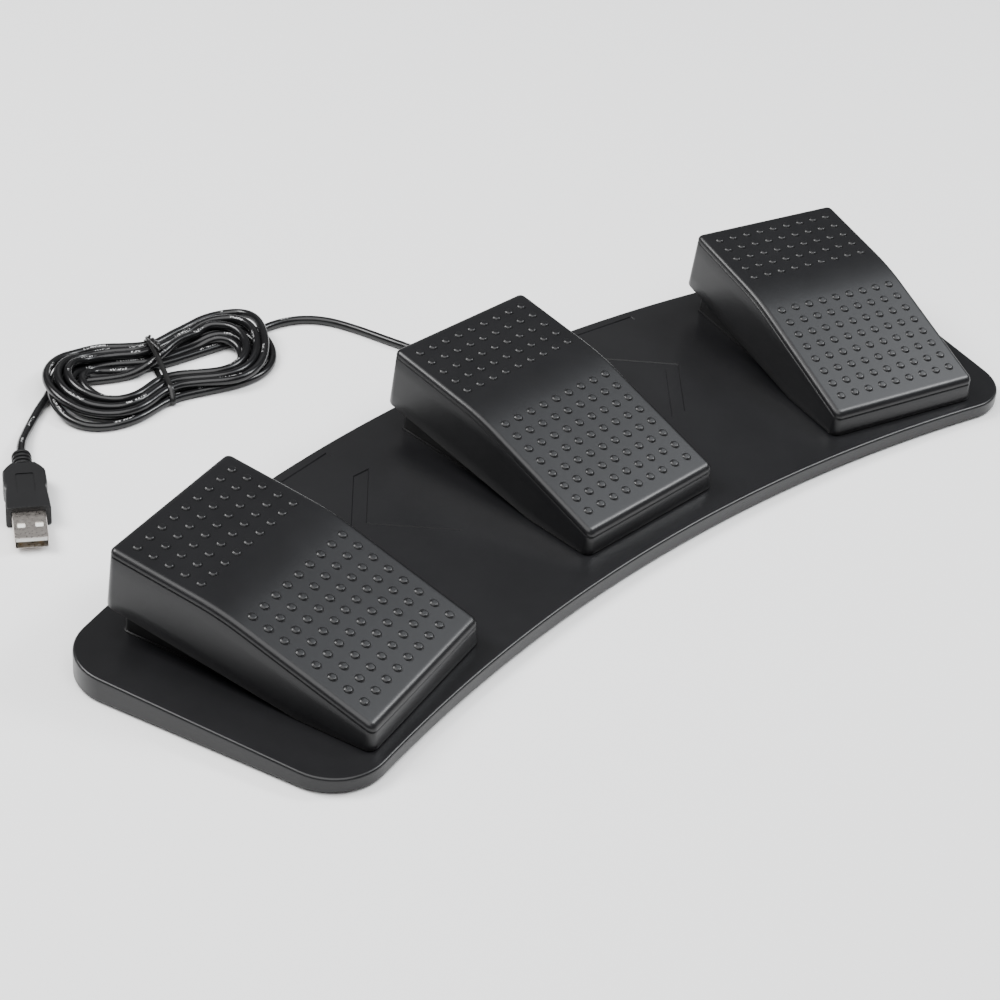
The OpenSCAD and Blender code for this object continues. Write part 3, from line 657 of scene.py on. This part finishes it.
def corner_centre(arc_c, ring_r):
    """Centre of the left corner between the side edge and the edge arc whose centre is at arc_c."""
    offset = SIDE_D - CORNER_R + arc_c * math.sin(SPREAD)
    along = arc_c * math.cos(SPREAD) + math.sqrt(ring_r**2 - offset**2)
    out = -(SIDE_D - CORNER_R)
    x = out * math.cos(SPREAD) - along * math.sin(SPREAD)
    return x, out * math.sin(SPREAD) + along * math.cos(SPREAD)


def base_ring(inset, height):
    """Ring round the base's plan: its front side from left to right, then its rear side back again."""
    ring = []
    for arc_c, arc_r, to_front in ((FRONT_C, FRONT_R, True), (REAR_C, REAR_R, False)):
        outwards = 1 if to_front else -1
        corner = corner_centre(arc_c, arc_r + outwards * CORNER_R)
        mirror = (-corner[0], corner[1])
        at = math.atan2(corner[1] - arc_c, corner[0])
        r = CORNER_R - inset
        if to_front:
            left = arc_points(corner, r, SPREAD - math.pi, at - math.pi, 12)
            right = arc_points(mirror, r, -at, -SPREAD, 12)
        else:
            left = arc_points(corner, r, SPREAD + math.pi, at, 12)
            right = arc_points(mirror, r, math.pi - at, -SPREAD, 12)
        middle = arc_points((0, arc_c), arc_r + outwards * inset, at, math.pi - at, 72)[1:-1]
        edge = left + middle + right
        ring += edge if to_front else edge[::-1]
    return [(x, y, height(y)) for x, y in ring]


def rounded_edge(radius, steps=5):
    """(inwards, down) along a quarter round from the flat face to the wall."""
    turn = [math.pi / 2 * i / steps for i in range(steps + 1)]
    return [(radius * (1 - math.sin(a)), radius * (1 - math.cos(a))) for a in turn]


def arrow_outline(side):
    """An arrow head beside the middle pedal that points away from it."""
    w, h, stroke = 16, 24, 8
    points = [(-w, 0), (w - stroke, h), (w, h), (stroke - w, 0), (w, -h), (w - stroke, -h)]
    return [(side * (x - 74), y - 20) for x, y in points]


def at_outlet():
    """Frame on the rear edge where the lead leaves, with y along the lead."""
    y = REAR_C + math.sqrt(REAR_R**2 - OUTLET_X**2) + DECK_Y
    return Matrix.Translation((OUTLET_X, y, 0)) @ Matrix.Rotation(-math.asin(OUTLET_X / REAR_R), 4, "Z")


def combine(piece, tool, operation):
    """Unites a mesh with a tool or cuts the tool out of it."""
    other = new_object("tool", new_mesh("tool", tool.points, tool.faces, 180))
    change = piece.modifiers.new("combine", "BOOLEAN")
    change.operation = operation
    change.solver = "EXACT"
    change.object = other
    made = bpy.data.meshes.new_from_object(piece.evaluated_get(bpy.context.evaluated_depsgraph_get()))
    piece.modifiers.clear()
    piece.data = made
    bpy.data.objects.remove(other)


def even_shading(piece, crease):
    """Marks sharp edges again and lets the largest faces set the shading."""
    finish_mesh(piece.data, crease)
    weighted = piece.modifiers.new("shading", "WEIGHTED_NORMAL")
    weighted.keep_sharp = True


def make_base():
    edge, mark = 1.0, 0.4
    shell = Solid()
    rings = [base_ring(3.2, deck_top)]
    rings += [base_ring(i, lambda y, d=d: deck_top(y) - d) for i, d in rounded_edge(edge)]
    rings += [base_ring(0, lambda y: FOOT_STAND + 0.5), base_ring(0.15, lambda y: FOOT_STAND + 0.15),
              base_ring(0.5, lambda y: FOOT_STAND), base_ring(BASE_WALL, lambda y: FOOT_STAND),
              base_ring(BASE_WALL, lambda y: deck_top(y) - BASE_WALL)]
    shell.rings([[IN_PLAN @ Vector(p) for p in ring] for ring in rings])
    piece = mesh_piece("base_moulding", shell.points, shell.faces, "black_abs", "base", ("base_shell",))
    bosses, holes = Solid(), Solid()
    for x, y in COVER_SCREWS:
        foot = FOOT_STAND + COVER_T
        bosses.lathe([(foot, 3.25), (deck_top(y) - 1, 3.25)], IN_PLAN @ Matrix.Translation((x, y, 0)), 24)
        holes.lathe([(foot - 1, 1.25), (foot + 3, 1.25)], IN_PLAN @ Matrix.Translation((x, y, 0)), 16)
    for side in SIDES:
        place = pedal_frame(side)
        for x, y in HOUSING_SCREWS:
            holes.lathe([(-4, 1.5), (2, 1.5)], place @ Matrix.Translation((x, y, 0)), 16)
        holes.box((-4.5, 2.5), (-26, -8), (-4, 2), place)
    turned = at_outlet() @ Matrix.Translation((0, 1, OUTLET_Z)) @ Matrix.Rotation(math.pi / 2, 4, "X")
    holes.lathe([(0, 2.8), (6, 2.8)], turned, 32)
    for side in (-1, 1):
        holes.bevelled(arrow_outline(side), mark, 0.3, ON_DECK)
        slot_half, near, far = 19.4, 21.4, 24
        holes.bevelled([(-slot_half, near), (slot_half, near), (slot_half, far), (-slot_half, far)],
                       mark, 0.3, ON_DECK @ round_arc(side * SLOT_ANGLE))
    combine(piece, bosses, "UNION")
    combine(piece, holes, "DIFFERENCE")
    even_shading(piece, 35)


PEDAL_W, PEDAL_T = 70.5, 2.5
PEDAL_FRONT, PEDAL_REAR = -84, 20
PEDAL_CORNER = 3.6
UPPER_Z, UPPER_SLOPE = 32.3, math.radians(7.57)
LOWER_MID, LOWER_SLOPE = (-53.8, 19.3), math.radians(18.17)
BEND = 9
SKIRT_KINK, SKIRT_GAP, SKIRT_REAR = -55, 0.4, 12
DOT_PITCH, DOT_COLUMNS = 6.8, 9
SPRING_Y, SPRING_FOOT, SPRING_TOP = 4, 2, 18
SPRING_R, SPRING_WIRE_R, SPRING_TURNS, SPRING_PRESSED = 4.4, 0.6, 6, 0.5


def upper_at(y):
    return UPPER_Z + y * math.tan(UPPER_SLOPE)


def lower_at(y):
    return LOWER_MID[1] + (y - LOWER_MID[0]) * math.tan(LOWER_SLOPE)


def crown(y):
    """Height of a pedal's top at y, rounded where its two faces meet."""
    gap = lower_at(0) - upper_at(0)
    bend_y = -gap / (math.tan(LOWER_SLOPE) - math.tan(UPPER_SLOPE))
    u = (y - bend_y + BEND) / (2 * BEND)
    if u <= 0:
        return lower_at(y)
    if u >= 1:
        return upper_at(y)
    ends = (1 - u) ** 2 * lower_at(bend_y - BEND) + u**2 * upper_at(bend_y + BEND)
    return ends + 2 * u * (1 - u) * upper_at(bend_y)


def hem(y):
    """Height of the lower edge of a pedal's wall."""
    rise = max(0, y - SKIRT_KINK) / (PEDAL_REAR - SKIRT_KINK)
    return SKIRT_GAP + (SKIRT_REAR - SKIRT_GAP) * rise


def make_pedal(side):
    stations = [-76, -66, SKIRT_KINK, -44] + [-33 + 2 * i for i in range(10)] + [-8, 2, 10]
    fillet, draft = 2.1, 0.9

    def ring(inset, height):
        return box_ring(PEDAL_W / 2, PEDAL_FRONT, PEDAL_REAR, PEDAL_CORNER, inset, stations, height)

    shell = Solid()
    rings = [ring(draft + fillet + 1.2, crown)]
    rings += [ring(draft + i, lambda y, d=d: crown(y) - d) for i, d in rounded_edge(fillet, 6)]
    # a thin groove under the rounded edge, then the wall leaning out to its hem
    for down, inset in ((0.02, 0.3), (0.5, 0.38), (0.85, 0.08), (1.0, 0.02)):
        rings.append(ring(draft + inset, lambda y, d=fillet + down: crown(y) - d))
    for part in (0.25, 0.5, 0.75, 1):
        rings.append(ring(draft * (1 - part),
                          lambda y, t=part: (crown(y) - fillet - 1) * (1 - t) + (hem(y) + 0.4) * t))
    rings += [ring(0.12, lambda y: hem(y) + 0.12), ring(0.4, hem), ring(PEDAL_T - 0.2, hem),
              ring(PEDAL_T, lambda y: hem(y) + 0.2), ring(PEDAL_T + draft, lambda y: crown(y) - PEDAL_T)]
    place = pedal_frame(side)
    shell.rings(rings, place)

    faces = ((0, UPPER_Z, UPPER_SLOPE, 5, 6.27), (LOWER_MID[0], LOWER_MID[1], LOWER_SLOPE, 8, 6.44))
    dot = [(-0.3, 1.8), (0, 1.8), (0.13, 1.7), (0.25, 1.6), (0.39, 1.45), (0.51, 1.3), (0.61, 1.13),
           (0.64, 0.95), (0.64, 0.5)]
    for y, z, slope, rows, pitch in faces:
        face = place @ Matrix.Translation((0, y, z)) @ Matrix.Rotation(slope, 4, "X")
        for column in range(DOT_COLUMNS):
            for row in range(rows):
                x = (column - (DOT_COLUMNS - 1) / 2) * DOT_PITCH
                shell.lathe(dot, face @ Matrix.Translation((x, (row - (rows - 1) / 2) * pitch, 0)), 20)

    # inside: the spring's post and spigot, the bar that works the switch, and the stops
    shell.lathe([(15, 2.7), (15.2, 2.9), (18, 2.9)], place @ Matrix.Translation((0, SPRING_Y, 0)), 24)
    shell.lathe([(18, 5.5), (31, 5.5)], place @ Matrix.Translation((0, SPRING_Y, 0)), 32)
    shell.lathe([(-2.5, 1.5), (2.5, 1.5)], place @ Matrix.Translation((0, -27, 21.9)) @ ALONG_X, 20)
    shell.box((-2.4, 2.4), (-28.3, -25.7), (21.9, 26.5), place)
    for x in (-20, 20):
        shell.box((x - 1.5, x + 1.5), (13.2, 15), (24.2, 32), place)
    # lugs with a slotted bore that snaps over the shaft
    bore, slot, outer = 2.05, 1.6, 5
    mouth = math.asin(slot / bore)
    for x in (-22.5, 22.5):
        rim = arc_points(HINGE, outer, -math.pi / 2 + math.asin(slot / outer), math.radians(35), 10)
        rim += [(HINGE[0] + 4, 17.6), (HINGE[0] - 4, 17.6)]
        rim += arc_points(HINGE, outer, math.radians(145), 1.5 * math.pi - math.asin(slot / outer), 10)
        hole = arc_points(HINGE, bore, -math.pi / 2 - mouth, -2.5 * math.pi + mouth, 24)
        shell.prism(rim + hole, x - 2.5, x + 2.5, place @ SIDE_VIEW)
    name = side + "_pedal"
    mesh_piece(name + "_moulding", shell.points, shell.faces, "black_abs", name, (name,), 38)


def make_spring(side):
    """A compression spring with closed ends."""
    place = pedal_frame(side)
    wire = 2 * SPRING_WIRE_R
    low, high = SPRING_FOOT + SPRING_WIRE_R, SPRING_TOP - SPRING_WIRE_R
    path = []
    for turn in np.linspace(0, SPRING_TURNS, SPRING_TURNS * 20 + 1):
        at = (0, 1, SPRING_TURNS - 1, SPRING_TURNS)
        height = np.interp(turn, at, (low, low + wire, high - wire, high))
        angle = 2 * math.pi * turn
        x, y = SPRING_R * math.cos(angle), SPRING_Y + SPRING_R * math.sin(angle)
        path.append(place @ Vector((x, y, height)))
    points, faces = tube(path, SPRING_WIRE_R - 0.01, 10)
    replaced = (side + "_return_spring",)
    coil = mesh_piece(side + "_spring_coil", points, faces, "spring_steel", "base", replaced, 60)
    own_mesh(coil)


# Turns a shape made about z to lie along x, and a drawing in x, y into a side view in y, z
ALONG_X = Matrix.Rotation(math.pi / 2, 4, "Y")
SIDE_VIEW = Matrix(((0, 0, 1, 0), (1, 0, 0, 0), (0, 1, 0, 0), (0, 0, 0, 1)))


def make_housing(side):
    half_w, wall, floor_t, foot = 30, 2.4, 2, 0.5
    y0, y1 = -78, 15.5
    place = pedal_frame(side)

    def top(y):
        return 15 if y > -46 else 6.5 + (y - y0) * 8.5 / (-46 - y0)

    def ring(inset, height):
        return box_ring(half_w, y0, y1, 2, inset, [-70, -58, -46.5, -45.5, -20, 0, 10], height)

    block = Solid()
    rings = [ring(3, lambda y: floor_t), ring(wall + 0.4, lambda y: floor_t),
             ring(wall, lambda y: floor_t + 0.4), ring(wall, top)]
    rings += [ring(i, lambda y, d=d: top(y) - d) for i, d in rounded_edge(0.8, 3)]
    rings += [ring(0, lambda y: 0.6), ring(-foot, lambda y: 0.45), ring(-foot, lambda y: 0.1)]
    block.rings(rings, place)
    name = side + "_housing"
    piece = mesh_piece(name + "_moulding", block.points, block.faces, "inner_abs", "base", (name,))
    added, holes = Solid(), Solid()
    for x, y in HOUSING_SCREWS:
        added.lathe([(1, 3.5), (6.6, 3.5)], place @ Matrix.Translation((x, y, 0)), 24)
        holes.lathe([(-1, 1.25), (5.4, 1.25)], place @ Matrix.Translation((x, y, 0)), 16)
    added.lathe([(1, 3.3), (6, 3.3)], place @ Matrix.Translation((0, SPRING_Y, 0)), 24)
    added.box((3.2, 5.6), (-27.5, -5.7), (1, 13.5), place)
    holes.box((-4.5, 2.5), (-26, -8), (-1, floor_t + 1), place)
    holes.lathe([(-40, 2.02), (40, 2.02)], place @ Matrix.Translation((0, *HINGE)) @ ALONG_X, 32)
    for y in (-21.35, -11.85):
        holes.lathe([(2, 1), (8, 1)], place @ Matrix.Translation((0, y, 8.2)) @ ALONG_X, 16)
    combine(piece, added, "UNION")
    combine(piece, holes, "DIFFERENCE")
    even_shading(piece, 35)


# ---------------------------------------------------------------- strain relief, tie and plug


def make_strain_relief():
    boot, ribs = 15, 5
    profile = [(-4.1, 1.72), (-4.1, 3.2), (-2.6, 3.2), (-2.6, 2.72), (0.15, 2.72), (0.15, 4.0), (0.3, 4.2),
               (1.6, 4.2), (1.8, 4.0), (1.85, 3.1)]
    for i in range(ribs):
        z, r = 3 + i * 2.6, 3.5 - i * 0.18
        profile += [(z, r - 0.45), (z + 0.1, r - 0.08), (z + 0.25, r), (z + 1.05, r), (z + 1.2, r - 0.08),
                    (z + 1.3, r - 0.48)]
    profile += [(boot + 1.5, 2.45), (boot + 1.7, 2.3), (boot + 1.7, 1.72)]
    boot_shape = Solid()
    place = at_outlet() @ Matrix.Translation((0, 0, OUTLET_Z)) @ Matrix.Rotation(-math.pi / 2, 4, "X")
    boot_shape.lathe(profile, place, 40)
    return mesh_piece("lead_boot", boot_shape.points, boot_shape.faces, "moulded_pvc", "base",
                      ("strain_relief",), 50)


TIE_LEAN, TIE_HALF_W, TIE_HALF_T, TIE_RIDGE = 0.21, 1.1, 0.36, 0.16
TWIST_R, TWIST_WIRE_R, TWIST_TURNS = 0.72, 0.66, 2.1


def make_tie(shape):
    """A flat plastic-covered wire drawn round the waist, its two ends twisted together on top."""
    near = shape[np.abs(shape[:, 0] - TIE_LEAN * shape[:, 1]) < 2.5]
    cut = near[:, 1:]
    around = np.linspace(0, 2 * math.pi, 240, endpoint=False)
    outs = np.stack([np.cos(around), np.sin(around)], axis=1)
    reach = CORD_R + 0.5
    hull = np.array([cut[np.argmax(cut @ u)] + reach * u for u in outs])
    hull[:, 1] = np.maximum(hull[:, 1], 0.45)
    loop = np.stack([TIE_LEAN * hull[:, 0], hull[:, 0], hull[:, 1]], axis=1)
    loop = respaced(np.vstack([loop, loop[:1]]), 0.6)[:-1]
    for _ in range(3):
        loop = 0.25 * np.roll(loop, 1, 0) + 0.5 * loop + 0.25 * np.roll(loop, -1, 0)
    solid = Solid()
    n, sides = len(loop), 12
    centre = loop.mean(0)
    rings = []
    for i in range(n):
        way = loop[(i + 1) % n] - loop[i - 1]
        way /= np.linalg.norm(way)
        wide = np.array((1.0, -TIE_LEAN, 0)) - way * (way @ (1.0, -TIE_LEAN, 0))
        wide /= np.linalg.norm(wide)
        out = np.cross(way, wide)
        out *= math.copysign(1, out @ (loop[i] - centre))
        ring = []
        for k in range(sides):
            a = 2 * math.pi * k / sides
            # the wire inside stands out as a low ridge along the strap's middle
            thick = TIE_HALF_T + TIE_RIDGE * max(0, 0.35 - math.cos(a) ** 2)
            ring.append(loop[i] + TIE_HALF_W * math.cos(a) * wide + thick * math.sin(a) * out)
        rings.append(ring)
    points = [tuple(p) for ring in rings for p in hank_frame(ring)]
    solid.add(points, ring_faces(n, sides, closed=True))
    top = loop[loop[:, 2] > loop[:, 2].max() - 3]
    start, end = top[np.argmax(top[:, 1])], top[np.argmin(np.abs(top[:, 1] - 5))]
    steps = 40
    for phase in (0, math.pi):
        line = []
        for i in range(steps + 1):
            t = i / steps
            turn = phase + 2 * math.pi * TWIST_TURNS * t
            middle = start * (1 - t) + end * t + np.array((0.6 + 1.4 * t, 0, 1.15 + 0.5 * t))
            line.append(middle + TWIST_R * np.array((math.cos(turn), 0, math.sin(turn))))
        solid.add(*tube(hank_frame(line), TWIST_WIRE_R, 8))
    return mesh_piece("wire_tie", solid.points, solid.faces, "tie_plastic", "base", ("hank_tie",), 60)


PLUG_REAR = (-142.8, 143.7)
PLUG_TURN = math.radians(146.6 + 90)
PLUG_HALF, PLUG_HALF_W, PLUG_EDGE = 4.2, 8, 1.1
BOOT_L, MOULDING_L, SHELL_L = 9.5, 30, 16
SHELL_W, SHELL_H, SHELL_T = 12, 4.5, 0.35
MOUTH = BOOT_L + MOULDING_L + SHELL_L
IN_PLUG = Matrix.Translation((*PLUG_REAR, PLUG_HALF)) @ Matrix.Rotation(PLUG_TURN, 4, "Z")


def section(x, half_w, half_h, r, n=6):
    """Round-cornered ring square to the plug's axis."""
    r = min(r, half_w, half_h)
    ring = []
    for quarter, (sy, sz) in enumerate(((1, 1), (-1, 1), (-1, -1), (1, -1))):
        for i in range(n + 1):
            a = math.pi / 2 * (quarter + i / n)
            ring.append((x, sy * (half_w - r) + r * math.cos(a), sz * (half_h - r) + r * math.sin(a)))
    shift = 3 * (n + 1) + n // 2
    return ring[shift:] + ring[:shift]


def round_rectangle(x, y, r, n):
    """Outline with corners of radius r, each drawn in n steps."""
    corners = ((x[1] - r, y[1] - r), (x[0] + r, y[1] - r), (x[0] + r, y[0] + r), (x[1] - r, y[0] + r))
    quarter = math.pi / 2
    arcs = [arc_points(corner, r, q * quarter, (q + 1) * quarter, n) for q, corner in enumerate(corners)]
    return [p for arc in arcs for p in arc]


def make_overmould():
    body = Solid()
    rings = [section(-0.3, 1.72, 1.72, 1.72), section(-0.3, 2.3, 2.3, 2.3), section(0, 2.6, 2.6, 2.6)]
    for i in range(4):
        x = 0.4 + i * 2.35
        for along, r in ((0, 2.75), (0.12, 3.45), (0.35, 3.7), (1.05, 3.7), (1.28, 3.45), (1.4, 2.75)):
            rings.append(section(x + along, r, r, r))
    # half widths along the body, from the neck to its square front
    outline = [(9.6, 4.2), (10.2, 4.9), (12.6, 6.5), (14.6, 7.55), (15.6, 7.75), (19, 7.85), (23.2, 7.85),
               (24.2, 7.6), (25.2, 7.2), (26.4, 7.25), (28, 7.5), (32, 7.7), (36, 7.9), (38.9, PLUG_HALF_W)]
    for x, w in outline:
        shoulder = min(1, max(0, (x - 9.6) / 2))
        height = 3.4 + (PLUG_HALF - 3.4) * math.sqrt(1 - (1 - shoulder) ** 2)
        rings.append(section(x, w, height, PLUG_EDGE))
    front = BOOT_L + MOULDING_L
    rings += [section(front - 0.2, PLUG_HALF_W, PLUG_HALF, PLUG_EDGE),
              section(front - 0.05, PLUG_HALF_W - 0.07, PLUG_HALF - 0.06, 1.0),
              section(front, PLUG_HALF_W - 0.2, PLUG_HALF - 0.2, 0.9), section(front, 6.05, 2.3, 0.5),
              section(front - 0.5, 6.05, 2.3, 0.5), section(front - 0.5, 5.5, 1.8, 0.4)]
    body.rings(rings, IN_PLUG)
    piece = mesh_piece("plug_moulding", body.points, body.faces, "moulded_pvc", "base", ("plug_overmould",))
    recess = Solid()
    edge = round_rectangle((BOOT_L + 8, BOOT_L + 20.5), (-3.3, 3.3), 0.8, 4)
    recess.prism(edge, PLUG_HALF - 0.35, PLUG_HALF + 2, IN_PLUG)
    # a notch in each side
    for y in (-1, 1):
        notch = [(24.6, y * 6.9), (26.2, y * 6.9), (26.2, y * 9), (24.6, y * 9)]
        recess.prism(notch[::y], -2.2, 2.2, IN_PLUG)
    combine(piece, recess, "DIFFERENCE")
    even_shading(piece, 32)
    return piece


def make_plug_shell():
    w, h, t = SHELL_W / 2, SHELL_H / 2, SHELL_T
    back = BOOT_L + MOULDING_L - 7.9
    shell = Solid()
    outer = [(back, 0.4), (back, 0), (MOUTH - 0.25, 0), (MOUTH - 0.07, 0.07), (MOUTH, 0.2)]
    inner = [(MOUTH - 0.06, t - 0.04), (MOUTH - 0.35, t), (back + 0.5, t)]
    rings = [section(x, w - e, h - e, max(0.75 - e, 0.3), 4) for x, e in outer + inner]
    shell.rings(rings, IN_PLUG)
    piece = mesh_piece("plug_can", shell.points, shell.faces, "plug_nickel", "base", ("plug_shell",))
    windows = Solid()
    for y in (-3.15, 3.15):
        for z in (-h, h):
            edge = round_rectangle((MOUTH - 9.1, MOUTH - 6.3), (y - 1.45, y + 1.45), 0.6, 3)
            windows.prism(edge, z - 0.8, z + 0.8, IN_PLUG)
    combine(piece, windows, "DIFFERENCE")
    even_shading(piece, 35)
    return piece


def make_plug_inside():
    back, top = BOOT_L + MOULDING_L - 7.3, SHELL_H / 2 - SHELL_T - 0.02
    tongue = Solid()
    place = IN_PLUG @ Matrix.Translation((0, 0, top - 0.85))
    ends = ((back, 0), (MOUTH - 0.6, 0), (MOUTH - 0.4, 0.04), (MOUTH - 0.3, 0.15))
    tongue.rings([section(x, 5.5 - e, 0.85 - e, 0.15, 2) for x, e in ends], place)
    white = mesh_piece("plug_insert", tongue.points, tongue.faces, "tongue_plastic", "base",
                       ("plug_tongue",), 30)
    strips_of_gold = Solid()
    for y, end in ((-3.5, 1.6), (-1, 2.6), (1, 2.6), (3.5, 1.6)):
        place = IN_PLUG @ Matrix.Translation((0, y, top - 1.8))
        ends = ((back + 3, 0), (MOUTH - end - 0.2, 0), (MOUTH - end, 0.05))
        strips_of_gold.rings([section(x, 0.5 - e, 0.12 - e, 0.06, 2) for x, e in ends], place)
    gold = mesh_piece("plug_pins", strips_of_gold.points, strips_of_gold.faces, "contact_gold", "base",
                      ("plug_contacts",), 30)
    return white, gold


def make_floor():
    mesh = bpy.data.meshes.new("floor")
    mesh.from_pydata([(-6, -6, 0), (6, -6, 0), (6, 6, 0), (-6, 6, 0)], [], [(0, 1, 2, 3)])
    floor = new_object("floor", mesh)
    paper = Shader("paper", (0.88, 0.88, 0.88), 0.75)
    paper.bump(paper.noise(1.5, 3), 0.02)
    mesh.materials.append(paper.material)


# ---------------------------------------------------------------- the whole object

make_camera()
make_lights()
lead, lead_path, lead_shape = make_lead()
on_lead = [make_overmould(), make_plug_shell(), *make_plug_inside(), make_tie(lead_shape),
           make_strain_relief()]
make_base()
for side in SIDES:
    make_pedal(side)
    make_spring(side)
    make_housing(side)

slots = {part["node"]: part["material_slot"] for part in frame["record"]["subparts"]}
for name, node in frame["nodes"].items():
    node.data.materials.clear()
    node.data.materials.append(MATERIALS[slots[name]])
make_floor()
